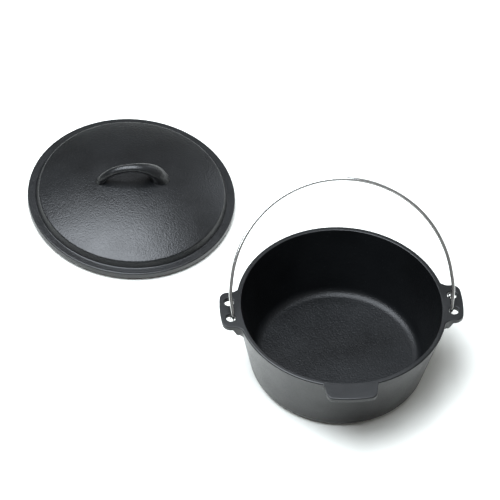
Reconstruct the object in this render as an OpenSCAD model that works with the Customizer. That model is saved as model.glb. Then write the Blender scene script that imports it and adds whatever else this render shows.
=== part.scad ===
// Cast iron dutch oven: a tapered pot with two pierced ears and a front grip
// tab, a domed lid lying beside it, and a wire bail hooked through the ears.
// Millimetres. The origin is the centre of the pot's base on the table, X runs
// along the line of the ears, -Y points at the front tab and +Z is up.

/* [Pot] */
// Height of the pot from the table to its rim
pot_h = 105; // [85:1:130]
// Outer diameter of the rim
rim_d = 266; // [230:1:320]
// Outer diameter of the wall carried down to the table
base_d = 218; // [180:1:228]
// Thickness of the wall
wall_t = 6; // [4:0.5:8]
// Thickness of the floor
floor_t = 10; // [4:0.5:14]
// Radius of the outer edge round the base
base_r = 13; // [6:1:18]
// Radius of the inner corner between floor and wall
floor_r = 12; // [6:1:24]
// Radius of the two edges of the rim
rim_edge_r = 1.2; // [0.5:0.1:2]

/* [Ears] */
// Length of an ear along Y
ear_len = 58; // [50:1:76]
// Reach of an ear beyond the rim
ear_reach = 21; // [19:0.5:28]
// Thickness of an ear
ear_t = 7; // [5:0.5:10]
// Radius of an ear's outer corners
ear_corner_r = 10; // [4:1:14]
// Radius of the plan fillet where an ear meets the rim
ear_root_r = 12; // [4:1:20]
// Reach from the wall of the two gussets under an ear, one at each end
gusset_run = 9; // [6:0.5:18]
// Depth of those gussets down the wall
gusset_drop = 16; // [8:1:30]
// Thickness of a gusset
gusset_t = 7; // [4:0.5:9]
// Size of the bevel under the middle of an ear
under_w = 4; // [1:0.5:5]
// Diameter of the four bail holes
hole_d = 12; // [10:0.5:14]
// Distance between the two holes of an ear
hole_pitch = 26; // [24:0.5:30]
// Distance of the hole centres outside the rim
hole_out = 8; // [7:0.5:10]

/* [Front tab] */
// Width of the tab where it leaves the rim
tab_root_w = 68; // [50:1:90]
// Width of the tab at its front edge
tab_tip_w = 60; // [40:1:80]
// Reach of the tab beyond the rim
tab_reach = 21; // [14:0.5:28]
// Thickness of the tab
tab_t = 7; // [5:0.5:10]
// Radius of the tab's front corners
tab_corner_r = 9; // [4:1:14]
// Radius of the plan fillet where the tab meets the rim
tab_root_r = 5; // [2:1:12]
// Size of the bevel under the tab
tab_under_w = 8; // [3:1:14]

/* [Lid] */
// How far the lid's edge stops short of the rim's outer edge
lid_inset = 0.5; // [0:0.5:3]
// Thickness of the flat flange round the lid
flange_t = 8.5; // [5:0.5:10]
// Width of the flat flange
flange_w = 10; // [8:0.5:16]
// Run of the steep shoulder inside the flange
shoulder_run = 4; // [3:0.5:8]
// Height of the shoulder above the flange
shoulder_h = 8.5; // [6:0.5:14]
// Rise of the dome from the shoulder to the middle of the lid
dome_h = 21; // [4:0.5:30]
// Thickness of the domed plate
plate_t = 5.5; // [4:0.5:8]
// Depth of the lip that drops inside the rim
lip_h = 4; // [2:0.5:8]
// Thickness of that lip
lip_t = 5; // [3:0.5:8]
// Radial clearance between the lip and the pot's wall
lip_gap = 1; // [0.5:0.1:2]
// Radius of the shoulder's top edge
shoulder_r = 3; // [1:0.5:5]
// Radius of the flange's edges
flange_edge_r = 1.5; // [0.5:0.1:3]
// Place of the lid's centre on the table, along X
lid_x = -238.5; // [-320:0.5:-230]
// Place of the lid's centre on the table, along Y
lid_y = 276; // [270:1:360]
// Angle of the handle from the line of the ears
lid_turn = -3; // [-90:1:90]

/* [Lid handle] */
// Length of the handle over its two feet
handle_len = 93; // [70:1:110]
// Height of the handle above the middle of the lid
handle_h = 29; // [24:0.5:40]
// Thickness of the handle's bar
bar_t = 10.5; // [8:0.5:14]
// Width of the handle's bar
bar_w = 11; // [8:0.5:16]
// Length of the broad foot at the handle's right end
foot_len = 27; // [16:1:32]
// Width of that broad foot
foot_w = 20; // [14:1:28]
// How far the broad foot stands behind the handle's middle line
foot_back = 3; // [0:0.5:6]

/* [Bail] */
// Diameter of the wire
wire_d = 4.5; // [3.5:0.1:5.5]
// Height of the arch above its pivot, to the middle of the wire
arch_h = 163.5; // [140:0.5:190]
// How far the arch's sides stand outside the hooks
arch_out = 1.5; // [-20:0.5:10]
// Slope of the straight arms from upright
arm_slope = 8; // [5:1:20]
// Radius of the inward bend at the foot of each arm
bend_r = 80; // [10:1:120]
// How far each leg of a hook stands inside the centre of its hole
hook_tuck = 1; // [0:0.1:2]
// How far the hook's plane lies inboard of the hole centres
hook_inset = 2.5; // [0:0.1:3]
// How far past horizontal the hook's free end turns up
hook_end = 62; // [30:1:80]
// Backward lean of the bail from upright
bail_lean = 45; // [-20:1:95]

/* [Hidden] */
$fn = 96;
arc_steps = 10;   // lengths along one rounded corner
hook_steps = 20;  // lengths along a hook, a bend and half the arch
bend_steps = 4;
arch_steps = 22;
wire_sides = 12;
foot_turn = 8;    // how far past its chord each end of the handle's bar runs on, into the plate
rim_r = rim_d / 2;
base_rad = base_d / 2;
// horizontal thickness of the sloping wall
wall_slope = atan((rim_r - base_rad) / pot_h);
wall_run = wall_t / cos(wall_slope);
bore_r = rim_r - wall_run;   // inner radius at the rim
pivot_z = pot_h - ear_t / 2;
hole_x = rim_r + hole_out;
hook_x = hole_x - hook_inset;
hook_r = hole_pitch / 2 - hook_tuck; // about the pivot, to the middle of the wire
arch_r = hook_x + arch_out;
lid_r = rim_r - lid_inset;
lip_r = bore_r - lip_gap - lip_h * tan(wall_slope);
plate_r = lid_r - flange_w;  // foot of the shoulder
crown_r = plate_r - shoulder_run;
flange_z = lip_h + flange_t; // top of the flange above the table
crown_z = flange_z + shoulder_h;
top_z = crown_z + dome_h;
dome_R = (crown_r * crown_r + dome_h * dome_h) / (2 * dome_h);
handle_top = top_z + handle_h;
bar_R = (handle_len * handle_len / 4 + handle_h * handle_h) / (2 * handle_h);
bar_sweep = 2 * (asin(handle_len / 2 / bar_R) + foot_turn);

// Outer radius of the wall at a height above the table
function wall_at(z) = base_rad + (rim_r - base_rad) * z / pot_h;

// Points along an arc about c, from angle a0 to angle a1
function arc(c, r, a0, a1, n = arc_steps) =
    [for (i = [0:n]) let (a = a0 + (a1 - a0) * i / n) c + r * [cos(a), sin(a)]];

function unit(v) = v / norm(v);
function angle_of(v) = atan2(v[1], v[0]);
// The same turn taken the short way round
function short_turn(a) = a - 360 * round(a / 360);

// The points that replace corner c, between p and q, with an arc of radius r
function corner(p, c, q, r) =
    r <= 0 ? [c] :
    let (u = unit(p - c), v = unit(q - c), half = acos(u * v) / 2,
         m = c + unit(u + v) * r / sin(half),
         a0 = angle_of(c + u * r / tan(half) - m),
         a1 = angle_of(c + v * r / tan(half) - m))
    arc(m, r, a0, a0 + short_turn(a1 - a0));

// A closed outline from corners [x, y, radius]
function rounded(k) =
    let (n = len(k), p = [for (c = k) [c[0], c[1]]])
    [for (i = [0:n - 1]) each corner(p[(i + n - 1) % n], p[i], p[(i + 1) % n], k[i][2])];

// Upper half of a lug's plan outline: it leaves a rim of radius R with a
// fillet, runs along a straight side, turns a corner and ends on an edge that
// is an arc about the pot's axis. X points outwards.
function lug_half(R, root_w, tip_w, reach, corner_r, root_r) =
    let (p = [R, root_w / 2], d = unit([R + reach, tip_w / 2] - p), n = [-d[1], d[0]],
         a = p + n * root_r, s = -a * d + sqrt(pow(a * d, 2) - a * a + pow(R + root_r, 2)),
         f = a + d * s,
         b = p - n * corner_r,
         t = -b * d + sqrt(pow(b * d, 2) - b * b + pow(R + reach - corner_r, 2)),
         k = b + d * t)
    concat(arc(f, root_r, angle_of(f) + 180, angle_of(-n) + 360),
           arc(k, corner_r, angle_of(n), angle_of(k)),
           arc([0, 0], R + reach, angle_of(k), 0));

// A flat lug of the given outline, its top level with the rim
module lug(root_w, tip_w, reach, corner_r, root_r, t) {
    half = lug_half(rim_r, root_w, tip_w, reach, corner_r, root_r);
    back = [for (i = [len(half) - 2:-1:0]) [half[i][0], -half[i][1]]];
    start = [rim_r - wall_run, half[0][1]];
    translate([0, 0, pot_h - t])
        linear_extrude(t)
            polygon(concat([[start[0], -start[1]], start], half, back));
}

// The web under a lug: a bar across it that slopes from the lug to the wall
module gusset(len, t, run, drop) {
    top = pot_h - t;
    low = top - drop;
    inner = wall_at(low) - wall_t / 2;
    outer = wall_at(top) + run;
    rotate([90, 0, 0])
        linear_extrude(len, center = true)
            polygon([[inner, top + t / 2], [outer, top + t / 2], [outer, top], [wall_at(low), low],
                     [inner, low]]);
}

// The space inside the pot, carried up through the rim
module cavity() {
    inner_low = wall_at(floor_t) - wall_run;
    lift = 10;
    rotate_extrude()
        polygon(rounded([[0, floor_t, 0], [inner_low, floor_t, floor_r],
                         [wall_at(pot_h + lift) - wall_run, pot_h + lift, 0], [0, pot_h + lift, 0]]));
}

module shell() {
    rotate_extrude()
        polygon(rounded([[0, 0, 0], [base_rad, 0, base_r], [rim_r, pot_h, rim_edge_r], [0, pot_h, 0]]));
}

module bail_holes() {
    for (sx = [-1, 1], sy = [-1, 1])
        translate([sx * hole_x, sy * hole_pitch / 2, pot_h - ear_t - 1])
            cylinder(d = hole_d, h = ear_t + 2);
}

module pot() {
    color("#26292b")
    difference() {
        union() {
            shell();
            for (side = [0, 180])
                rotate(side) {
                    lug(ear_len, ear_len, ear_reach, ear_corner_r, ear_root_r, ear_t);
                    gusset(ear_len - 2 * gusset_t, ear_t, under_w, under_w);
                    for (end = [-1, 1])
                        translate([0, end * (ear_len - gusset_t - 2) / 2, 0])
                            gusset(gusset_t, ear_t, gusset_run, gusset_drop);
                }
            rotate(-90) {
                lug(tab_root_w, tab_tip_w, tab_reach, tab_corner_r, tab_root_r, tab_t);
                gusset(tab_tip_w - 2 * tab_corner_r, tab_t, tab_under_w, tab_under_w);
            }
        }
        cavity();
        bail_holes();
    }
}

// Height of the dome's upper face at a distance from the lid's axis
function dome_at(r) = top_z - dome_R + sqrt(dome_R * dome_R - r * r);

// The lid without its handle: lip, flange, shoulder and dome as one profile
module lid_plate() {
    crown = arc([0, top_z - dome_R], dome_R, angle_of([crown_r, dome_at(crown_r) - top_z + dome_R]), 90);
    hollow_r = crown_r - plate_t / 2;
    under = arc([0, top_z - dome_R], dome_R - plate_t, 90,
                angle_of([hollow_r, dome_at(hollow_r) - top_z + dome_R]));
    rotate_extrude()
        polygon(concat(
            [[lip_r - lip_t, 0], [lip_r, 0]],
            rounded([[lip_r, lip_h, 0], [lid_r, lip_h, flange_edge_r], [lid_r, flange_z, flange_edge_r],
                     [plate_r, flange_z, 0]]),
            corner([plate_r, flange_z], [crown_r, crown_z], [0, crown_z + 2 * dome_h], shoulder_r),
            [for (p = crown) if (p[0] < crown_r - 2 * shoulder_r) p],
            under,
            [[lip_r - lip_t, flange_z - plate_t]]));
}

// The loop handle: a bar bent to an arc, with a broad foot at its right end
module lid_handle() {
    sink = 0.6 * plate_t;
    edge_r = bar_t / 2.5;
    translate([0, 0, handle_top - bar_R])
        rotate([90, 0, 0])
            rotate(90 - bar_sweep / 2)
                rotate_extrude(angle = bar_sweep)
                    translate([bar_R - bar_t, -bar_w / 2])
                        polygon(rounded([for (c = [[0, 0], [1, 0], [1, 1], [0, 1]])
                                         [c[0] * bar_t, c[1] * bar_w, edge_r]]));
    hull() {
        translate([handle_len / 2 - foot_len / 2, foot_back, dome_at(handle_len / 2) - sink])
            linear_extrude(1)
                polygon(rounded([for (c = [[-1, -1], [1, -1], [1, 1], [-1, 1]])
                                 [c[0] * foot_len / 2, c[1] * foot_w / 2, foot_w / 2 - 1]]));
        translate([handle_len / 2 - foot_len, -bar_w / 4, handle_top - bar_t])
            cube([foot_len / 3, bar_w / 2, bar_t / 3]);
    }
}

module lid() {
    color("#2a2d2e")
    translate([lid_x, lid_y, 0])
        rotate(lid_turn) {
            lid_plate();
            difference() {
                lid_handle();
                // keeps the handle's feet out of the hollow under the plate
                translate([0, 0, top_z - dome_R])
                    sphere(r = dome_R - plate_t / 2, $fn = 200);
            }
        }
}

// Middle line of the bail's right half, from the hook's free end to the crown,
// with the bail upright and the pivot at the origin
function bail_half() =
    let (slope = [sin(arm_slope), -cos(arm_slope)],
         arch_c = [0, arch_h - arch_r],
         top = arch_c + arch_r * [cos(arm_slope), sin(arm_slope)],
         foot = [hook_x, 0],
         // where the arm and the foot would meet if the bend were sharp
         spread = top - foot,
         peak = (top + foot + [spread[1] * tan(arm_slope), spread[0] / tan(arm_slope)]) / 2,
         trim = min(bend_r * tan(arm_slope), 0.9 * norm(peak - foot), 0.9 * norm(peak - top)),
         r = trim / tan(arm_slope))
    concat([for (a = arc([0, 0], hook_r, 360 + hook_end, 180, hook_steps)) [hook_x, a[0], a[1]]],
           [for (b = arc(peak - [r / cos(arm_slope), 0], r, -arm_slope, arm_slope, bend_steps))
                [b[0], -hook_r, b[1]]],
           [for (c = arc(arch_c, arch_r, arm_slope, 90, arch_steps)) [c[0], -hook_r, c[1]]]);

// One reference direction for each point, carried along without twisting
function carried(t, u) = len(u) == len(t) ? u :
    let (k = t[len(u)], w = u[len(u) - 1]) carried(t, concat(u, [unit(w - (w * k) * k)]));

// A round wire swept along a line of points, closed at both ends
module wire(path, d, sides) {
    n = len(path);
    t = [for (i = [0:n - 1]) unit(path[min(i + 1, n - 1)] - path[max(i - 1, 0)])];
    u = carried(t, [unit(cross(t[0], [1, 0, 0]))]);
    points = [for (i = [0:n - 1], k = [0:sides - 1]) let (a = 360 * k / sides)
              path[i] + d / 2 * (cos(a) * u[i] + sin(a) * cross(t[i], u[i]))];
    walls = [for (i = [0:n - 2], k = [0:sides - 1]) let (m = (k + 1) % sides)
             each [[i * sides + k, (i + 1) * sides + k, (i + 1) * sides + m],
                   [i * sides + k, (i + 1) * sides + m, i * sides + m]]];
    ends = [[for (k = [0:sides - 1]) k], [for (k = [sides - 1:-1:0]) (n - 1) * sides + k]];
    polyhedron(points, concat(walls, ends));
}

module bail() {
    half = bail_half();
    other = [for (i = [len(half) - 2:-1:0]) [-half[i][0], half[i][1], half[i][2]]];
    color("#c9cbcc")
    translate([0, 0, pivot_z])
        rotate([-bail_lean, 0, 0])
            wire(concat(half, other), wire_d, wire_sides);
}

pot();
lid();
bail();
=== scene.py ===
"""Cast iron dutch oven: the looks of the pot, its lid and its wire bail.

Every surface is a grid of points worked out with numpy from a few sizes, in millimetres, and its mesh is
written in metres.
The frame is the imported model's: the origin is the centre of the pot's base on the table, X runs along the
ears, -Y points at the front tab and +Z is up.
"""
import logging
import math
from dataclasses import dataclass, field
from enum import Enum
from typing import Any, Optional, Union

import bpy
import numpy as np
from mathutils import Matrix, Vector


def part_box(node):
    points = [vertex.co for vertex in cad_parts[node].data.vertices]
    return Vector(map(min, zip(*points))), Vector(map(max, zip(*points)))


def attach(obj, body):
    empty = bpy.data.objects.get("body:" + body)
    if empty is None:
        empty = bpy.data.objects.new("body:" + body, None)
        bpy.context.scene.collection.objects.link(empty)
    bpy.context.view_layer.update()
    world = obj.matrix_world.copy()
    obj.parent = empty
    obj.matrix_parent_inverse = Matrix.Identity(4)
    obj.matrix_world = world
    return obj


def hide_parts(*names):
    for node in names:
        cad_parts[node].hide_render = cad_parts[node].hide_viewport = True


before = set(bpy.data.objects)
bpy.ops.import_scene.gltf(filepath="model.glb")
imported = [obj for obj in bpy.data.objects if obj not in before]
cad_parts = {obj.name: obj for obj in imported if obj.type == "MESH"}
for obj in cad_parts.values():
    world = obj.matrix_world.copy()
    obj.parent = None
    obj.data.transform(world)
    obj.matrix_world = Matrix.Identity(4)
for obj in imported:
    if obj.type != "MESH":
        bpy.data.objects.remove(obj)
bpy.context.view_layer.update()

LOG = logging.getLogger("dutch_oven")
MM = 0.001
Array = np.ndarray
Point = Union[tuple, Array]
Value = Union[float, int, tuple, "Wire"]
TURN = 2 * np.pi


# ------------------------------------------ shader expressions

class Wire:
    """A node's output socket, so that shader maths reads as Python maths."""

    def __init__(self, tree: "Tree", socket: Any) -> None:
        """Remembers the tree, which makes the Math nodes, and the socket."""
        self.tree = tree
        self.socket = socket

    def _math(self, operation: str, a: Value, b: Value) -> "Wire":
        """One Math node of two values."""
        return self.tree.node("ShaderNodeMath", {"operation": operation}, {0: a, 1: b})

    def __add__(self, other: Value) -> "Wire":
        """self + other."""
        return self._math("ADD", self, other)

    __radd__ = __add__

    def __mul__(self, other: Value) -> "Wire":
        """self * other."""
        return self._math("MULTIPLY", self, other)

    __rmul__ = __mul__


class Tree:
    """A node tree, with one method that makes any node.

    A Mix node has several sockets of each name, so the four for colours are found by number.
    """

    MIX_SHARE, MIX_FIRST, MIX_SECOND, MIX_COLOUR = 0, 6, 7, 2

    def __init__(self, node_tree: Any) -> None:
        """Empties the tree, ready for new nodes."""
        self.tree = node_tree
        self.tree.nodes.clear()

    def node(self, kind: str, settings: Optional[dict] = None, inputs: Optional[dict] = None,
             out: Union[int, str] = 0) -> Wire:
        """Makes a node.

        Args:
            kind: the node's type, such as ShaderNodeMath.
            settings: its own settings, by name.
            inputs: values or wires, by socket name or number.
            out: which output to give back.

        Returns:
            The wire at that output.
        """
        made = self.tree.nodes.new(kind)
        for name, value in (settings or {}).items():
            setattr(made, name, value)
        for name, value in (inputs or {}).items():
            if isinstance(value, Wire):
                self.tree.links.new(value.socket, made.inputs[name])
            else:
                made.inputs[name].default_value = value
        return Wire(self, made.outputs[out] if made.outputs else None)

    def noise(self, place: Wire, size: float, detail: float, rough: float) -> Wire:
        """Soft noise from 0 to 1 whose lumps are about size metres across."""
        return self.node("ShaderNodeTexNoise", {},
                         {"Vector": place, "Scale": 1 / size, "Detail": detail, "Roughness": rough})

    def spread(self, value: Value, source: tuple, target: tuple = (0.0, 1.0)) -> Wire:
        """value carried from one (low, high) range to another, and held there outside."""
        return self.node("ShaderNodeMapRange", {}, {
            "Value": value, "From Min": source[0], "From Max": source[1],
            "To Min": target[0], "To Max": target[1]})

    def mix(self, share: Value, first: Value, second: Value) -> Wire:
        """A colour between first and second."""
        return self.node("ShaderNodeMix", {"data_type": "RGBA"}, {
            self.MIX_SHARE: share, self.MIX_FIRST: first, self.MIX_SECOND: second}, out=self.MIX_COLOUR)


# ---------------------------------------------------- finishes

@dataclass(frozen=True)
class IronFinish:
    """Seasoned sand-cast iron: black, satin, with a fine pebbled skin. Sizes in metres."""

    name: str
    dark: tuple = (0.0022, 0.0025, 0.0028, 1.0)
    light: tuple = (0.0050, 0.0056, 0.0062, 1.0)
    roughness: float = 0.34
    specular: float = 0.5
    grain: float = 0.0019
    grain_depth: float = 0.00015
    cell_share: float = 0.7
    mould_size: float = 0.030
    cloud_size: float = 0.090

    def build(self) -> bpy.types.Material:
        """Makes the material.

        The skin is pebbles as large as the grain, rounded cells a little larger, and a slow unevenness from
        the mould. Their sum drives a bump; pebbles and mould also vary the gloss, and clouds shift the black.

        Returns:
            The finished material.
        """
        material = bpy.data.materials.new(self.name)
        material.use_nodes = True
        tree = Tree(material.node_tree)
        place = tree.node("ShaderNodeTexCoord", out="Object")
        pebbles = tree.noise(place, self.grain, 2.0, 0.5)
        cells = tree.node("ShaderNodeTexVoronoi", {"feature": "SMOOTH_F1"},
                          {"Vector": place, "Scale": self.cell_share / self.grain, "Smoothness": 0.6})
        mould = tree.noise(place, self.mould_size, 3.0, 0.5)
        clouds = tree.noise(place, self.cloud_size, 2.0, 0.5)
        height = (tree.spread(pebbles, (0.3, 0.7), (0.0, 0.6)) + tree.spread(cells, (0.1, 0.7), (0.0, 0.4))
                  + mould * 0.8)
        bump = tree.node("ShaderNodeBump", {}, {
            "Strength": 1.0, "Distance": self.grain_depth, "Height": height})
        colour = tree.mix(tree.spread(clouds, (0.35, 0.65)), self.dark, self.light)
        gloss = (tree.spread(pebbles, (0.3, 0.7), (-0.04, 0.05))
                 + tree.spread(mould, (0.35, 0.65), (-0.03, 0.03)) + self.roughness)
        shader = tree.node("ShaderNodeBsdfPrincipled", {}, {
            "Base Color": colour, "Roughness": gloss, "Normal": bump, "Specular IOR Level": self.specular})
        tree.node("ShaderNodeOutputMaterial", {}, {"Surface": shader})
        return material


@dataclass(frozen=True)
class WireFinish:
    """Bright drawn steel wire, with faint marks from the forming. Sizes in metres."""

    name: str
    colour: tuple = (0.66, 0.66, 0.65, 1.0)
    dull: tuple = (0.50, 0.50, 0.49, 1.0)
    roughness: float = 0.14
    scratch_size: float = 0.0009
    scratch_depth: float = 0.00002
    patch_size: float = 0.012

    def build(self) -> bpy.types.Material:
        """Makes the material.

        Fine scratches dent the skin and vary the gloss, and larger patches vary gloss and brightness.

        Returns:
            The finished material.
        """
        material = bpy.data.materials.new(self.name)
        material.use_nodes = True
        tree = Tree(material.node_tree)
        place = tree.node("ShaderNodeTexCoord", out="Object")
        scratches = tree.noise(place, self.scratch_size, 3.0, 0.6)
        patches = tree.noise(place, self.patch_size, 2.0, 0.5)
        colour = tree.mix(tree.spread(patches, (0.3, 0.7)), self.colour, self.dull)
        gloss = (tree.spread(scratches, (0.3, 0.7), (-0.05, 0.08))
                 + tree.spread(patches, (0.3, 0.7), (-0.03, 0.05)) + self.roughness)
        bump = tree.node("ShaderNodeBump", {}, {
            "Strength": 1.0, "Distance": self.scratch_depth, "Height": scratches})
        shader = tree.node("ShaderNodeBsdfPrincipled", {}, {
            "Base Color": colour, "Metallic": 1.0, "Roughness": gloss, "Normal": bump})
        tree.node("ShaderNodeOutputMaterial", {}, {"Surface": shader})
        return material


# ---------------------------------------------------- surfaces

def arc(centre: Point, radius: float, start: float, end: float, count: int) -> Array:
    """Points along an arc: the centre plus the radius times the cosine and sine of evenly spaced angles.

    Args:
        centre: the two coordinates of the centre.
        radius: the arc's radius.
        start: first angle, in degrees.
        end: last angle, in degrees.
        count: how many points.

    Returns:
        An array of count by 2.
    """
    angle = np.radians(np.linspace(start, end, count))
    return np.asarray(centre) + np.stack([np.cos(angle), np.sin(angle)], -1) * radius


def line(start: Point, end: Point, count: int) -> Array:
    """count points evenly along a straight line, its two ends included."""
    share = np.linspace(0, 1, count)[:, None]
    return (1 - share) * np.asarray(start, float) + share * np.asarray(end, float)


def chain(*parts: Array) -> Array:
    """The parts joined end to end, with a point that repeats the one before it left out.

    Args:
        parts: lists of points.

    Returns:
        One list of points.
    """
    points = np.concatenate(parts)
    keep = np.r_[True, np.linalg.norm(np.diff(points, axis=0), axis=1) > 1e-6]
    return points[keep]


def smooth(value: Array) -> Array:
    """The usual S-curve, 3v^2 - 2v^3, of the value held between 0 and 1."""
    held = np.clip(value, 0, 1)
    return held * held * (3 - 2 * held)


def grid_faces(rows: int, columns: int) -> Array:
    """Four corners for each cell of a grid that closes on itself round its columns.

    Args:
        rows: how many rows of points.
        columns: how many points in a row.

    Returns:
        An array of (rows - 1) * columns by 4.
    """
    row, column = np.meshgrid(np.arange(rows - 1), np.arange(columns), indexing="ij")
    after = (column + 1) % columns
    corners = [row * columns + column, row * columns + after, (row + 1) * columns + after,
               (row + 1) * columns + column]
    return np.stack(corners, -1).reshape(-1, 4)


def pole_faces(ring: Array, pole: int, flip: bool) -> Array:
    """Three corners for each triangle between a ring of points and its pole.

    Args:
        ring: numbers of the ring's points, in order.
        pole: number of the pole.
        flip: whether the triangles look the other way.

    Returns:
        An array of one row per point of the ring by 3.
    """
    after = np.roll(ring, -1)
    pair = (after, ring) if flip else (ring, after)
    return np.stack([*pair, np.full_like(ring, pole)], -1)


def hermite(share: Array, start: Array, leave: Array, end: Array, arrive: Array) -> Array:
    """A cubic curve: its two ends and its two directions, weighted by the Hermite polynomials.

    Args:
        share: from 0 at the start to 1 at the end.
        start: the first end.
        leave: the direction there.
        end: the other end.
        arrive: the direction there.

    Returns:
        The points at these shares.
    """
    square, cube = share ** 2, share ** 3
    return ((2 * cube - 3 * square + 1) * start + (cube - 2 * square + share) * leave
            + (3 * square - 2 * cube) * end + (cube - square) * arrive)


def mesh_from_grid(name: str, grid: Array) -> bpy.types.Mesh:
    """Makes a closed mesh of a grid of points that closes round its columns.

    The first row and the last are each closed by one point in the row's middle.

    Args:
        name: the mesh's name.
        grid: points in millimetres, rows by columns by 3, ordered so that the faces look outwards.

    Returns:
        The mesh, in metres, smooth all over.
    """
    rows, columns = grid.shape[:2]
    pole = rows * columns
    points = np.concatenate([grid.reshape(-1, 3), grid[[0, -1]].mean(1)])
    faces = grid_faces(rows, columns).tolist()
    faces += pole_faces(np.arange(columns), pole, True).tolist()
    faces += pole_faces(np.arange(pole - columns, pole), pole + 1, False).tolist()
    mesh = bpy.data.meshes.new(name)
    mesh.from_pydata((points * MM).tolist(), [], faces)
    mesh.polygons.foreach_set("use_smooth", np.ones(len(mesh.polygons), bool))
    mesh.update()
    return mesh


def turned(profile: Array, columns: int) -> Array:
    """A surface of revolution: each profile point (r, z) at (r cos a, r sin a, z) for even angles a.

    Args:
        profile: the points (r, z).
        columns: how many angles.

    Returns:
        A grid of points, profile rows by columns by 3.
    """
    angle = np.linspace(0, TURN, columns, endpoint=False)
    radius, height = profile[:, 0, None], profile[:, 1, None]
    return np.stack([radius * np.cos(angle), radius * np.sin(angle), height + 0 * angle], -1)


def add_object(mesh: bpy.types.Mesh, material: Optional[bpy.types.Material]) -> bpy.types.Object:
    """Puts a mesh in the scene as an object at the origin, with its material.

    Args:
        mesh: the mesh, whose name the object takes.
        material: its material, or None.

    Returns:
        The object.
    """
    made = bpy.data.objects.new(mesh.name, mesh)
    bpy.context.scene.collection.objects.link(made)
    if material:
        mesh.materials.append(material)
    return made


def baked(thing: bpy.types.Object) -> None:
    """Gives an object the mesh that its modifiers make, and takes the modifiers away.

    Args:
        thing: the object.
    """
    graph = bpy.context.evaluated_depsgraph_get()
    mesh = bpy.data.meshes.new_from_object(thing.evaluated_get(graph))
    thing.modifiers.clear()
    thing.data = mesh


# --------------------------------------------------------- pot

@dataclass(frozen=True)
class Lug:
    """A flat lug cast with the rim: one of the two ears, or the front tab. Sizes in millimetres.

    Under its middle a lug has a concave fillet, and a lug with a gusset thickness has a sloping gusset near
    each end. Its bearing is the angle of its middle line from +X, in degrees.
    """

    bearing: float
    root_w: float
    tip_w: float
    reach: float
    corner_r: float
    root_r: float
    thick: float
    middle_r: float
    gusset_run: float = 0.0
    gusset_drop: float = 0.0
    gusset_t: float = 0.0

    def web(self, rib: float) -> tuple[float, float]:
        """Reach and depth of the web under the lug, from the middle's fillet (rib 0) to a gusset (rib 1)."""
        return (self.middle_r + rib * (self.gusset_run - self.middle_r),
                self.middle_r + rib * (self.gusset_drop - self.middle_r))

    def outline(self, rim_r: float) -> Array:
        """The lug's plan outline, X outwards, from one fillet on the rim to the other.

        A fillet leaves the rim, a straight side follows, then a corner, then an outer edge that is an arc
        about the pot's axis; the other half mirrors it.

        Args:
            rim_r: the rim's outer radius.

        Returns:
            Points in order of falling angle about the pot's axis.
        """
        root = np.array([rim_r, self.root_w / 2])
        along = np.array([rim_r + self.reach, self.tip_w / 2]) - root
        along /= np.linalg.norm(along)
        normal = np.array([-along[1], along[0]])

        def slid(start: Array, distance: float) -> Array:
            """The point along the side from start that lies at a distance from the pot's axis."""
            dot = start @ along
            return start + along * (-dot + math.sqrt(dot * dot - start @ start + distance ** 2))

        fillet = slid(root + normal * self.root_r, rim_r + self.root_r)
        corner = slid(root - normal * self.corner_r, rim_r + self.reach - self.corner_r)
        side = math.degrees(math.atan2(normal[1], normal[0]))
        rim_angle = math.degrees(math.atan2(fillet[1], fillet[0]))
        tip_angle = math.degrees(math.atan2(corner[1], corner[0]))
        half = chain(
            arc(fillet, self.root_r, rim_angle + 180, side + 180, 12),
            line(fillet - normal * self.root_r, corner + normal * self.corner_r, 7),
            arc(corner, self.corner_r, side, tip_angle, 11),
            arc((0, 0), rim_r + self.reach, tip_angle, 0, 14))
        return chain(half, half[::-1] * (1, -1))


def ear(bearing: float) -> Lug:
    """One of the two ears: parallel sides, and a gusset under each end."""
    return Lug(bearing, root_w=58, tip_w=58, reach=21, corner_r=10, root_r=12, thick=7, middle_r=4,
               gusset_run=9, gusset_drop=16, gusset_t=7)


def front_tab() -> Lug:
    """The grip tab at the front, narrower at its tip."""
    return Lug(-90, root_w=68, tip_w=60, reach=21, corner_r=9, root_r=5, thick=7, middle_r=8)


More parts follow.
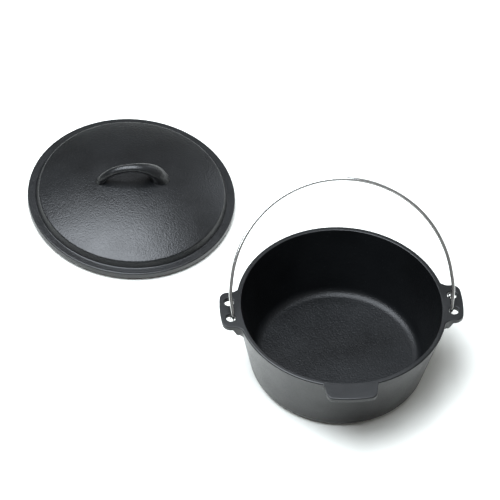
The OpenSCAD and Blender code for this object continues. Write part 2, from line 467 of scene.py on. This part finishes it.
@dataclass
class Pot:
    """The pot: bowl, rim, two pierced ears and a front tab, one casting. Sizes in millimetres.

    The gusset fields say where an ear's gussets start and fade along the rim. Distances there are stretched
    by gusset_stretch, because an ear's end lies farther from the axis than the rim does. A lug's side leans
    in by side_lean, and row_gap keeps the rows of two neighbouring parts of a profile apart.
    """

    iron: IronFinish
    lining: IronFinish
    height: float = 105.0
    rim_r: float = 133.0
    base_rad: float = 109.0
    wall_run: float = 6.15
    floor_t: float = 10.0
    base_r: float = 13.0
    floor_r: float = 12.0
    outer_edge: float = 1.9
    inner_edge: float = 1.2
    lug_edge: float = 1.6
    hole_x: float = 141.0
    hole_pitch: float = 26.0
    hole_r: float = 6.0
    hole_lip: float = 1.4
    gusset_stretch: float = 1.06
    gusset_inset: float = 3.5
    gusset_rise: float = 4.0
    gusset_past: float = 8.5
    gusset_fade: float = 8.0
    gusset_hollow: float = 0.15
    root_blend: float = 2.5
    side_lean: float = 0.2
    least_shelf: float = 0.8
    row_gap: float = 0.3
    column_step: float = 1.15
    outer_low: float = 74.0
    pole_r: float = 1.0
    lugs: tuple = field(default_factory=lambda: (ear(0), front_tab(), ear(180)))

    def __post_init__(self) -> None:
        """Works out the wall's slope, in degrees, and the tangent that places a corner's arc on it."""
        self.slope = math.degrees(math.atan2(self.rim_r - self.base_rad, self.height))
        self.tan_half = math.tan(math.radians((90 + self.slope) / 2))

    def wall_at(self, z: Union[float, Array]) -> Union[float, Array]:
        """Outer radius of the sloping wall at a height."""
        return self.base_rad + (self.rim_r - self.base_rad) * z / self.height

    def bearings(self) -> tuple[Array, Array, Array, Array]:
        """The bearings of the profile's columns round the pot: close over the lugs, even elsewhere.

        Returns:
            For each column its angle, the outline's radius, the number of its lug or -1, and how far it
            stands to the side of its lug's middle line, as the sine of the angle times the rim's radius.
        """
        angles, radii, owner, aside = [], [], [], []
        for number, lug in enumerate(self.lugs):
            points = lug.outline(self.rim_r)
            local = np.arctan2(points[:, 1], points[:, 0])
            angles.append(local + math.radians(lug.bearing))
            radii.append(np.hypot(points[:, 0], points[:, 1]))
            owner.append(np.full(len(points), number))
            aside.append(self.rim_r * np.sin(local))
        step = math.radians(self.column_step)
        margin = 0.6 * step
        even = np.arange(0, TURN, step)
        clear = np.all([(even - a.min() % TURN + margin) % TURN > a.max() - a.min() + 2 * margin
                        for a in angles], axis=0)
        count = np.count_nonzero(clear)
        angles.append(even[clear])
        radii.append(np.full(count, self.rim_r))
        owner.append(np.full(count, -1))
        aside.append(np.zeros(count))
        angle = np.concatenate(angles) % TURN
        order = np.argsort(angle)
        return (angle[order], np.concatenate(radii)[order], np.concatenate(owner)[order],
                np.concatenate(aside)[order])

    def inside(self) -> Array:
        """The profile of the inside, from the middle of the floor up to the rim's inner edge.

        Returns:
            Points (r, z).
        """
        corner_r = self.wall_at(self.floor_t) - self.wall_run
        centre = np.array([corner_r - self.floor_r / self.tan_half, self.floor_t + self.floor_r])
        corner = arc(centre, self.floor_r, -90, -self.slope, 12)
        top = self.height - self.inner_edge
        edge = self.wall_at(top) - self.wall_run
        return chain(line((self.pole_r, self.floor_t), centre - (0, self.floor_r), 30), corner,
                     line(corner[-1], (edge, top), 26))

    def gusset_share(self, lug: Lug, aside: float) -> float:
        """How far the web under a lug is a gusset: 0 in the lug's middle, 1 near an end, 0 well past it.

        Args:
            lug: the lug.
            aside: distance from its middle line.

        Returns:
            The share.
        """
        if not lug.gusset_t:
            return 0.0
        far = abs(aside) * self.gusset_stretch
        half = max(lug.root_w, lug.tip_w) / 2
        rise = smooth(np.array((far - (half - lug.gusset_t - self.gusset_inset)) / self.gusset_rise))
        fade = smooth(np.array((half + self.gusset_past - far) / self.gusset_fade))
        return float(rise * fade)

    def outer_rows(self, radius: float, lug: Optional[Lug], aside: float) -> Array:
        """The profile from the rim's flat top out, down and in to the wall, at one bearing.

        Over a lug it rounds the top edge, drops down the side, rounds the lower edge, runs in under the lug
        and meets the wall in a web. In the middle of the lug the web is a concave fillet, whose points go in
        by 1 - sin and down by 1 - cos of an angle; near an ear's ends it is a deep, nearly straight gusset,
        and the side runs on down to meet it. Elsewhere the profile follows the wall. Close to the root of a
        lug the two are mixed.

        Args:
            radius: the outline's radius at this bearing.
            lug: the lug here, or None.
            aside: distance from the lug's middle line.

        Returns:
            A fixed number of points (r, z).
        """
        top, rim_edge, edge = self.height, self.outer_edge, self.lug_edge
        gap, lean = self.row_gap, self.side_lean
        below = top - rim_edge - gap
        foot = (self.wall_at(self.outer_low), self.outer_low)
        plain = np.concatenate([
            arc((self.rim_r - rim_edge, top - rim_edge), rim_edge, 90, 8, 6),
            line((self.wall_at(below), below), foot, 30)])
        if lug is None:
            return plain
        under = top - lug.thick
        rib = self.gusset_share(lug, aside)
        length, depth = lug.web(rib)
        corner = float(self.wall_at(under))
        hollow = 1 - (1 - self.gusset_hollow) * rib
        inset = radius - lean - edge
        start = min(corner + length, inset - self.least_shelf)
        drop = rib * depth * max(0.0, 1 - (start - corner) / length)
        turn = np.linspace(0, 1, 10)
        bend = np.pi / 2 * turn
        across = 1 - hollow * np.sin(bend) - (1 - hollow) * turn
        fall = hollow * (1 - np.cos(bend)) + (1 - hollow) * turn
        level = under - drop - (depth - drop) * fall
        root = float(self.wall_at(under - drop))
        web = np.stack([self.wall_at(level) + (start - root) * across, level], -1)
        cast = np.concatenate([
            arc((radius - edge, top - edge), edge, 90, 0, 6),
            line((radius, top - edge - gap), (radius - lean, under - drop + edge + gap), 4),
            arc((inset, under - drop + edge), edge, 0, -90, 6),
            line((inset - gap, under - drop), web[0] + (lean, 0), 5),
            web[:-1],
            line(web[-1], foot, 6)])
        share = float(smooth(np.array((radius - self.rim_r) / self.root_blend)))
        return (1 - share) * plain + share * cast

    def surface(self) -> Array:
        """The whole skin of the pot as a grid: profile rows by bearing columns.

        Each column is the inside profile, the flat top of the rim, the outer rows of its bearing, the wall
        down to the rounded base and the flat base in to the middle, turned to its angle about the axis.

        Returns:
            Points in millimetres, rows by columns by 3.
        """
        angle, radius, owner, aside = self.bearings()
        inside = self.inside()
        low = self.outer_low - 2.0
        base_c = (self.base_rad - self.base_r / self.tan_half, self.base_r)
        base_arc = arc(base_c, self.base_r, -self.slope, -90, 12)
        lower = chain(line((self.wall_at(low), low), base_arc[0], 22), base_arc,
                      line(base_arc[-1], (self.pole_r, 0.0), 16))
        inner_z = self.height - self.inner_edge
        inner_c = self.wall_at(inner_z) - self.wall_run + self.inner_edge
        lip = arc((inner_c, inner_z), self.inner_edge, 172, 90, 6)
        columns = []
        for edge, number, side in zip(radius, owner, aside):
            lug = self.lugs[number] if number >= 0 else None
            outer = self.outer_rows(edge, lug, side)
            flat = line(lip[-1], outer[0], 8)[1:-1]
            columns.append(np.concatenate([inside, lip, flat, outer, lower]))
        across, height = np.moveaxis(np.stack(columns, 1), -1, 0)
        return np.stack([across * np.cos(angle), across * np.sin(angle), height], -1)

    def line_inside(self, mesh: bpy.types.Mesh) -> None:
        """Gives the faces of the bowl's inside the lining's finish, and smooths them all.

        A face is inside when its middle is nearer to the axis than the middle of the wall, above the middle
        of the floor, and not on the rim's flat top.

        Args:
            mesh: the pot's mesh, which has one material so far.
        """
        count = len(mesh.polygons)
        middle = np.empty(count * 3)
        mesh.polygons.foreach_get("center", middle)
        x, y, z = (middle.reshape(-1, 3) / MM).T
        inside = ((np.hypot(x, y) < self.wall_at(z) - self.wall_run / 2) & (z > self.floor_t / 2)
                  & (z < self.height - self.row_gap))
        mesh.materials.append(self.lining.build())
        mesh.polygons.foreach_set("material_index", inside.astype(np.int32))
        mesh.polygons.foreach_set("use_smooth", np.ones(count, bool))
        mesh.update()

    def hole_cutter(self, x: float, y: float) -> bpy.types.Object:
        """A spool that cuts one bail hole: straight, with a lip that rounds out to each face of the ear.

        Args:
            x: place of the hole's axis.
            y: place of the hole's axis.

        Returns:
            The cutter object.
        """
        top, under, lip = self.height, self.height - self.lugs[0].thick, self.hole_lip
        wide = self.hole_r + lip
        spare, core = 3, self.pole_r / 2
        profile = chain(
            np.array([[core, under - spare], [wide, under - spare]]),
            arc((wide, under + lip), lip, 270, 180, 7),
            arc((wide, top - lip), lip, 180, 90, 7),
            np.array([[wide, top + spare], [core, top + spare]]))
        grid = turned(profile, 48) + (x, y, 0)
        return add_object(mesh_from_grid("cutter", grid), None)

    def build(self) -> bpy.types.Object:
        """Builds the pot and pierces its ears.

        Returns:
            The finished piece, riding on its body in the place of the CAD node.
        """
        piece = add_object(mesh_from_grid("pot_casting", self.surface()), self.iron.build())
        cutters = [self.hole_cutter(side * self.hole_x, end * self.hole_pitch / 2)
                   for side in (-1, 1) for end in (-1, 1)]
        for cutter in cutters:
            cut = piece.modifiers.new("hole", "BOOLEAN")
            cut.object = cutter
            cut.operation = "DIFFERENCE"
            cut.solver = "EXACT"
        baked(piece)
        for cutter in cutters:
            bpy.data.objects.remove(cutter)
        self.line_inside(piece.data)
        weighted = piece.modifiers.new("normals", "WEIGHTED_NORMAL")
        weighted.weight = 60
        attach(piece, "pot")
        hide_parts("pot")
        return piece


# --------------------------------------------------------- lid

class Edge(Enum):
    """An edge of the handle, seen from its side."""

    OUTER = "over the whole loop"
    INNER = "round its opening"


@dataclass
class Lid:
    """The lid: lip, flange, shoulder, dome and loop handle, one casting. Sizes in millimetres.

    The handle's arc stops handle_short degrees before the plate at each end. The inner edge's crest is at
    crest_at of the loop's length, crest_past degrees past the middle. From swell_from of its length on, the
    bar swells into the broad right foot, whose inner end is at foot_end. Each foot flares on to the dome, and
    its last row is sunk in the plate.
    """

    iron: IronFinish
    turn: float = -3.0
    radius: float = 132.5
    lip_h: float = 4.0
    lip_r: float = 125.0
    lip_t: float = 5.0
    flange_t: float = 8.5
    flange_w: float = 10.0
    shoulder_run: float = 4.0
    shoulder_h: float = 8.5
    shoulder_r: float = 2.6
    crease_r: float = 1.8
    dome_h: float = 21.0
    plate_t: float = 5.5
    edge: float = 1.6
    lip_edge: float = 1.2
    lip_fillet: float = 0.7
    hollow_in: float = 3.5
    hollow_r: float = 4.0
    pole_r: float = 1.0
    handle_len: float = 93.0
    handle_h: float = 29.0
    handle_short: float = 4.5
    bar_t: float = 10.5
    bar_w: float = 11.0
    crest_at: float = 0.52
    crest_past: float = 3.0
    crest_leave: tuple = (22.0, -2.0)
    foot_end: tuple = (22.0, 3.0)
    foot_arrive: tuple = (5.0, -24.0)
    swell_from: float = 0.42
    foot_swell: float = 5.6
    foot_back: float = 5.5
    flare: float = 1.3
    flare_leave: float = 3.0
    flare_arrive: float = 1.8
    flare_depth: float = 0.12
    sunk_in: float = 1.0
    sunk_depth: float = 2.5

    def __post_init__(self) -> None:
        """Takes the lid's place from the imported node, and works out the dome."""
        low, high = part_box("lid")
        self.centre = tuple((low[k] + high[k]) / 2 / MM for k in range(2))
        self.flange_z = self.lip_h + self.flange_t
        self.foot_r = self.radius - self.flange_w
        self.crown_r = self.foot_r - self.shoulder_run
        self.crown_z = self.flange_z + self.shoulder_h
        self.top_z = self.crown_z + self.dome_h
        self.dome_R = (self.crown_r ** 2 + self.dome_h ** 2) / (2 * self.dome_h)

    def dome_at(self, distance: Array) -> Array:
        """Height of the dome's upper face at a distance from the axis: a sphere's."""
        return self.top_z - self.dome_R + np.sqrt(self.dome_R ** 2 - distance ** 2)

    def underside(self) -> Array:
        """The profile of the hollow, the lip and the flange's outer edge.

        A straight part starts and ends a little inside its neighbours' arcs, so that no two rows coincide.

        Returns:
            Points (r, z), from the middle of the hollow's dome to the flange's upper edge.
        """
        inner = self.crown_r - self.hollow_in
        under_r = np.linspace(self.pole_r, inner, 34)
        under = np.stack([under_r, self.dome_at(under_r) - self.plate_t], -1)
        roof = under[-1, 1]
        lip_in, lip_out, low = self.lip_r - self.lip_t, self.lip_r, self.lip_h
        lip_edge, fillet = self.lip_edge, self.lip_fillet
        edge, radius, top = self.edge, self.radius, self.flange_z
        return chain(
            under,
            arc((inner + 0.5, roof - self.hollow_r), self.hollow_r, 80, 10, 5),
            line((inner + 4.6, roof - 6.5), (lip_in - 0.5, low + 2.0), 5),
            line((lip_in, low + 0.6), (lip_in, 1.0), 4),
            arc((lip_in + lip_edge, lip_edge), lip_edge, 180, 270, 5),
            arc((lip_out - lip_edge, lip_edge), lip_edge, 270, 360, 5),
            line((lip_out, 1.6), (lip_out, low - 0.8), 3),
            arc((lip_out + fillet, low - fillet), fillet, 180, 90, 4),
            line((lip_out + 1.2, low), (radius - edge - 0.3, low), 4),
            arc((radius - edge, low + edge), edge, 270, 360, 7),
            line((radius, low + edge + 0.4), (radius, top - edge - 0.4), 5),
            arc((radius - edge, top - edge), edge, 0, 90, 7))

    def upper_side(self) -> Array:
        """The profile of the flange's flat top, the crease, the steep shoulder and the dome.

        The shoulder's rounded top is an arc tangent to its steep side and to the dome.

        Returns:
            Points (r, z), from the flange's upper edge in to the middle.
        """
        steep = np.array([self.crown_r - self.foot_r, self.shoulder_h])
        lean = math.degrees(math.atan2(steep[1], -steep[0]))
        slope = math.degrees(math.asin(self.crown_r / self.dome_R))
        crease_x = self.foot_r + self.crease_r / math.tan(math.radians((180 - lean) / 2))
        crease = arc((crease_x, self.flange_z + self.crease_r), self.crease_r, 270, 270 - lean, 8)
        reach = self.shoulder_r / math.tan(math.radians((180 - (lean - slope)) / 2))
        tangent = np.array([self.crown_r, self.crown_z]) - steep / np.linalg.norm(steep) * reach
        start = math.radians(90 - lean)
        centre = tangent - np.array([math.cos(start), math.sin(start)]) * self.shoulder_r
        shoulder = arc(centre, self.shoulder_r, 90 - lean, 90 - slope, 10)
        dome_r = np.linspace(shoulder[-1, 0] - 1.2, self.pole_r, 60)
        dome = np.stack([dome_r, self.dome_at(dome_r)], -1)
        return chain(line((self.radius - self.edge - 0.4, self.flange_z), (crease_x + 0.3, self.flange_z), 8),
                     crease, line(crease[-1], shoulder[0], 8), shoulder, dome)

    def plate(self) -> Array:
        """The turned part of the lid, from the middle of its underside round its edge to the top.

        Returns:
            A grid of points in millimetres about the lid's own axis.
        """
        return turned(chain(self.underside(), self.upper_side()), 320)

    def curve(self, edge: Edge, share: Array) -> Array:
        """The handle's outer or inner edge, (x, height above the middle of the plate), along the loop.

        The outer edge is one arc over both feet. The inner edge is an arc inside it as far as the crest, and
        then a cubic curve that drops to the inner end of the broad right foot.

        Args:
            edge: which edge.
            share: from 0 at the left foot to 1 at the right.

        Returns:
            Points, as many as there are shares.
        """
        big = ((self.handle_len / 2) ** 2 + self.handle_h ** 2) / (2 * self.handle_h)
        centre = np.array([0.0, self.handle_h - big])
        sweep = math.asin(self.handle_len / 2 / big) - math.radians(self.handle_short)
        if edge is Edge.OUTER:
            angle = sweep * (2 * share - 1)
            return centre + big * np.stack([np.sin(angle), np.cos(angle)], -1)
        small = big - self.bar_t
        crest, peak = self.crest_at, math.radians(self.crest_past)
        angle = -sweep + (sweep + peak) * np.minimum(share / crest, 1)
        round_part = centre + small * np.stack([np.sin(angle), np.cos(angle)], -1)
        after = np.clip((share - crest) / (1 - crest), 0, 1)[:, None]
        start = centre + small * np.array([math.sin(peak), math.cos(peak)])
        drop = hermite(after, start, np.array(self.crest_leave), np.array(self.foot_end),
                       np.array(self.foot_arrive))
        return np.where((share > crest)[:, None], drop, round_part)

    def loop(self) -> Array:
        """The handle: an oval section carried along the loop, flared into the plate at both feet.

        A section spans from the inner edge to the outer one in the plane of the loop, and its half width
        grows from the bar's to the broad foot's, while its middle moves back. Past each end, cubic curves
        carry every point of the last section out to a footprint on the dome and then down into the plate.

        Returns:
            A grid of points in millimetres about the lid's own axis.
        """
        share = np.linspace(0, 1, 72)
        outer, inner = self.curve(Edge.OUTER, share), self.curve(Edge.INNER, share)
        middle, arm = (outer + inner) / 2, (outer - inner) / 2
        swell = smooth((share - self.swell_from) / (1 - self.swell_from))
        half_w = self.bar_w / 2 + swell * self.foot_swell
        back = swell * self.foot_back
        angle = np.linspace(0, TURN, 44, endpoint=False)
        cos, sin = np.cos(angle), np.sin(angle)
        flat = middle[:, None] + arm[:, None] * cos[None, :, None]
        depth = back[:, None] + half_w[:, None] * sin[None]
        rings = np.stack([flat[..., 0], depth, flat[..., 1] + self.top_z], -1)
        left, right = self.foot(rings[0], rings[1]), self.foot(rings[-1], rings[-2])
        return np.concatenate([left[::-1], rings, right])[::-1]

    def foot(self, last: Array, before: Array) -> Array:
        """The flare from the handle's last section to the plate.

        Each point follows a cubic curve from the section to a footprint a little larger than the section. It
        leaves along the handle and arrives along the dome.

        Args:
            last: the last section, as points.
            before: the one before it.

        Returns:
            The rows of the flare, the last of them sunk in the plate.
        """
        centre, step = last.mean(0), (last - before).mean(0)
        step = step / np.linalg.norm(step)
        above = centre[2] - float(self.dome_at(np.hypot(centre[0], centre[1])))
        fall = above / max(-step[2], 0.4)
        landing = centre + step * fall
        away = (last - centre) * (1, 1, 0)
        stretch = np.linalg.norm(away, axis=1, keepdims=True)
        unit = away / np.maximum(stretch, 1e-6)
        print_xy = landing + away + unit * self.flare
        print_z = self.dome_at(np.hypot(print_xy[:, 0], print_xy[:, 1])) - self.flare_depth
        end = np.concatenate([print_xy[:, :2], print_z[:, None]], 1)
        share = np.linspace(0, 1, 10)[1:, None, None]
        rows = hermite(share, last, step * self.flare_leave, end, unit * self.flare_arrive)
        sunk = end - unit * self.sunk_in - (0, 0, self.sunk_depth)
        return np.concatenate([rows, sunk[None]])

    def placed(self, grid: Array) -> Array:
        """Turns a grid about the lid's own axis, and moves it to where the lid lies.

        Args:
            grid: points in millimetres.

        Returns:
            The same points in place.
        """
        angle = math.radians(self.turn)
        cos, sin = math.cos(angle), math.sin(angle)
        spin = np.array([[cos, -sin, 0], [sin, cos, 0], [0, 0, 1]])
        return grid @ spin.T + (*self.centre, 0)

    def build(self) -> list[bpy.types.Object]:
        """Builds the plate and the handle.

        Returns:
            The two pieces, riding on the lid's body in the place of the CAD node.
        """
        iron = self.iron.build()
        pieces = []
        for name, grid in (("lid_plate", self.plate()), ("lid_handle", self.loop())):
            piece = add_object(mesh_from_grid(name, self.placed(grid)), iron)
            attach(piece, "lid")
            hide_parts("lid")
            pieces.append(piece)
        return pieces


# -------------------------------------------------------- bail

@dataclass
class Bail:
    """The wire bail: an arch, two arms and two hooks, one wire. Sizes in millimetres.

    A free end is rounded in cap_rows rings, which reach cap_long of the radius past the middle line's end and
    close by cap_close.
    """

    steel: WireFinish
    pivot_z: float = 101.5
    wire_d: float = 4.5
    arch_h: float = 163.5
    arch_r: float = 140.0
    arm_slope: float = 8.0
    bend_r: float = 80.0
    hook_r: float = 12.0
    hook_x: float = 138.5
    hook_end: float = 62.0
    lean: float = 45.0
    rings: int = 420
    smoothings: int = 6
    ring_points: int = 28
    cap_rows: int = 5
    cap_long: float = 0.8
    cap_close: float = 0.96

    def middle_line(self) -> Array:
        """The wire's middle line with the bail upright and its pivot at the origin.

        From the free end of the right hook an arc goes under the pivot to the foot of the arm. The arm bends
        in by an arc and rises straight to the arch, which is one arc over the crown. The left half mirrors
        the right.

        Returns:
            Points evenly spaced along the wire, slightly smoothed so that no bend is sharp.
        """
        a = math.radians(self.arm_slope)
        arch_c = np.array([0.0, self.arch_h - self.arch_r])
        top = arch_c + self.arch_r * np.array([math.cos(a), math.sin(a)])
        foot = np.array([self.hook_x, 0.0])
        spread = top - foot
        peak = (top + foot + np.array([spread[1] * math.tan(a), spread[0] / math.tan(a)])) / 2
        room = 0.9 * min(np.linalg.norm(peak - foot), np.linalg.norm(peak - top))
        trim = min(self.bend_r * math.tan(a), room)
        bend = trim / math.tan(a)
        hook = arc((0, 0), self.hook_r, 360 + self.hook_end, 180, 60)
        rise = chain(arc(peak - (bend / math.cos(a), 0), bend, -self.arm_slope, self.arm_slope, 12),
                     arc(arch_c, self.arch_r, self.arm_slope, 90, 90))
        right = np.concatenate([
            np.stack([np.full(len(hook), self.hook_x), hook[:, 0], hook[:, 1]], -1),
            np.stack([rise[:, 0], np.full(len(rise), -self.hook_r), rise[:, 1]], -1)])
        whole = np.concatenate([right, right[-2::-1] * (-1, 1, 1)])
        along = np.r_[0, np.cumsum(np.linalg.norm(np.diff(whole, axis=0), axis=1))]
        even = np.linspace(0, along[-1], self.rings)
        path = np.stack([np.interp(even, along, whole[:, k]) for k in range(3)], -1)
        for _ in range(self.smoothings):
            path[1:-1] = path[1:-1] * 0.5 + (path[2:] + path[:-2]) * 0.25
        return path

    def tube(self) -> Array:
        """A round section carried along the middle line, with rounded free ends.

        Each ring lies across the line, on a direction carried from ring to ring without twisting; at the two
        ends the radius closes as a quarter of an ellipse.

        Returns:
            A grid of points in millimetres, in place.
        """
        path = self.middle_line()
        tangent = np.gradient(path, axis=0)
        tangent /= np.linalg.norm(tangent, axis=1, keepdims=True)
        side = np.empty_like(path)
        side[0] = np.cross(tangent[0], (1, 0, 0))
        for i in range(1, len(path)):
            rest = side[i - 1] - (side[i - 1] @ tangent[i]) * tangent[i]
            side[i] = rest / np.linalg.norm(rest)
        other = np.cross(tangent, side)
        radius = self.wire_d / 2
        rows = np.clip(np.arange(-self.cap_rows, len(path) + self.cap_rows), 0, len(path) - 1)
        closing = np.linspace(1, 0, self.cap_rows + 1)[:-1]
        shift = radius * self.cap_long * closing
        cap = radius * np.sqrt(1 - closing ** 2 * self.cap_close)
        shifts = np.concatenate([-shift, np.zeros(len(path)), shift[::-1]])
        sizes = np.concatenate([cap, np.full(len(path), radius), cap[::-1]])
        centres = path[rows] + tangent[rows] * shifts[:, None]
        angle = np.linspace(0, TURN, self.ring_points, endpoint=False)[:, None]
        ring = side[rows, None] * np.cos(angle) + other[rows, None] * np.sin(angle)
        grid = centres[:, None] + sizes[:, None, None] * ring
        tilt = math.radians(-self.lean)
        cos, sin = math.cos(tilt), math.sin(tilt)
        turn = np.array([[1, 0, 0], [0, cos, -sin], [0, sin, cos]])
        return grid @ turn.T + (0, 0, self.pivot_z)

    def build(self) -> bpy.types.Object:
        """Builds the bail.

        Returns:
            The piece, riding on the bail's body in the place of the CAD node.
        """
        piece = add_object(mesh_from_grid("bail_wire", self.tube()), self.steel.build())
        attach(piece, "bail")
        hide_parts("bail")
        return piece


# ------------------------------------------------------ studio

@dataclass(frozen=True)
class Lamp:
    """A soft rectangular light, at its place and aimed at a point. Sizes in metres, power in watts."""

    name: str
    place: tuple
    aim: tuple
    size: tuple
    watts: float
    colour: tuple = (0.92, 0.98, 1.06)

    def build(self) -> bpy.types.Object:
        """Puts the light in the scene, unseen by the camera.

        Returns:
            The light.
        """
        data = bpy.data.lights.new(self.name, "AREA")
        data.shape = "RECTANGLE"
        data.size, data.size_y = self.size
        data.energy = self.watts
        data.color = self.colour
        made = bpy.data.objects.new(self.name, data)
        made.location = self.place
        made.rotation_euler = (Vector(self.aim) - Vector(self.place)).to_track_quat("-Z", "Y").to_euler()
        made.visible_camera = False
        bpy.context.scene.collection.objects.link(made)
        return made


@dataclass
class Studio:
    """A pale floor, soft lights and the camera. Sizes in metres."""

    target: tuple = (-0.0934, 0.1889, 0.0)
    distance: float = 15.0
    elevation: float = 48.81
    azimuth: float = -8.56
    roll: float = 4.60
    focal_px: float = 11775.0
    frame_px: float = 500.0
    sensor: float = 36.0
    clip_end: float = 50.0
    floor_half: float = 25.0
    floor_drop: float = 0.0003
    paper: tuple = (0.93, 0.93, 0.87, 1.0)
    sky_dark: tuple = (0.28, 0.28, 0.28, 1.0)
    sky_pale: tuple = (1.0, 1.0, 1.0, 1.0)
    sky_rise: float = 0.6
    sky_aside: float = 0.4
    sky_strength: float = 0.30
    lamps: tuple = (
        Lamp("overhead", place=(-0.55, 0.10, 1.7), aim=(-0.1, 0.1, 0.0), size=(1.7, 1.7), watts=88),
        Lamp("back_right", place=(1.1, 1.4, 0.9), aim=(-0.1, 0.15, 0.05), size=(0.7, 0.7), watts=4))

    def camera(self) -> bpy.types.Object:
        """A long lens looking down on the pot from the front, slightly rolled.

        Returns:
            The scene's camera.
        """
        tilt, swing, roll = (math.radians(v) for v in (self.elevation, self.azimuth, self.roll))
        back = Vector((math.sin(swing) * math.cos(tilt), -math.cos(swing) * math.cos(tilt), math.sin(tilt)))
        right = Vector((math.cos(swing), math.sin(swing), 0))
        up = back.cross(right)
        turned_right = right * math.cos(roll) + up * math.sin(roll)
        turned_up = up * math.cos(roll) - right * math.sin(roll)
        data = bpy.data.cameras.new("camera")
        data.sensor_width = self.sensor
        data.lens = self.focal_px / self.frame_px * self.sensor
        data.clip_end = self.clip_end
        made = bpy.data.objects.new("camera", data)
        axes = Matrix((turned_right, turned_up, back)).transposed()
        made.matrix_world = Matrix.Translation(Vector(self.target) + back * self.distance) @ axes.to_4x4()
        bpy.context.scene.collection.objects.link(made)
        bpy.context.scene.camera = made
        return made

    def floor(self) -> bpy.types.Object:
        """A wide pale sheet just under the object.

        Returns:
            The sheet.
        """
        half, low = self.floor_half, -self.floor_drop
        mesh = bpy.data.meshes.new("floor")
        mesh.from_pydata([(-half, -half, low), (half, -half, low), (half, half, low), (-half, half, low)],
                         [], [(0, 1, 2, 3)])
        material = bpy.data.materials.new("paper")
        material.use_nodes = True
        tree = Tree(material.node_tree)
        shader = tree.node("ShaderNodeBsdfPrincipled", {}, {
            "Base Color": self.paper, "Roughness": 0.9, "Specular IOR Level": 0.1})
        tree.node("ShaderNodeOutputMaterial", {}, {"Surface": shader})
        sheet = add_object(mesh, material)
        return sheet

    def sky(self) -> None:
        """A surround that is dark along the horizon and pale overhead, a little paler to the right."""
        world = bpy.data.worlds.new("surround")
        world.use_nodes = True
        tree = Tree(world.node_tree)
        way = tree.node("ShaderNodeTexCoord", out="Generated")
        up = tree.node("ShaderNodeSeparateXYZ", {}, {0: way}, out="Z")
        aside = tree.node("ShaderNodeSeparateXYZ", {}, {0: way}, out="X")
        share = tree.spread(up + aside * self.sky_aside, (0.0, self.sky_rise))
        shade = tree.node("ShaderNodeBackground", {}, {
            "Color": tree.mix(share, self.sky_dark, self.sky_pale), "Strength": self.sky_strength})
        tree.node("ShaderNodeOutputWorld", {}, {"Surface": shade})
        bpy.context.scene.world = world

    def build(self) -> None:
        """Builds the camera, the floor and the lights."""
        self.camera()
        self.floor()
        self.sky()
        for lamp in self.lamps:
            lamp.build()
        bpy.context.scene.view_settings.view_transform = "Standard"


# -------------------------------------------------------- main


def main() -> None:
    """Builds the studio, the pot, the lid and the bail in order, and reports each piece."""
    logging.basicConfig(level=logging.INFO, format="%(name)s: %(message)s")
    Studio().build()
    outside = IronFinish("pot_iron_skin", specular=0.41, grain_depth=0.00003)
    lining = IronFinish("pot_iron_lining", specular=0.25, grain_depth=0.0002)
    cover = IronFinish("lid_iron_skin", specular=0.46, grain_depth=0.0002)
    pieces = [Pot(outside, lining).build(), *Lid(cover).build(), Bail(WireFinish("bail_steel")).build()]
    for piece in pieces:
        LOG.info("%s: %d faces", piece.name, len(piece.data.polygons))


if __name__ == "__main__":
    main()
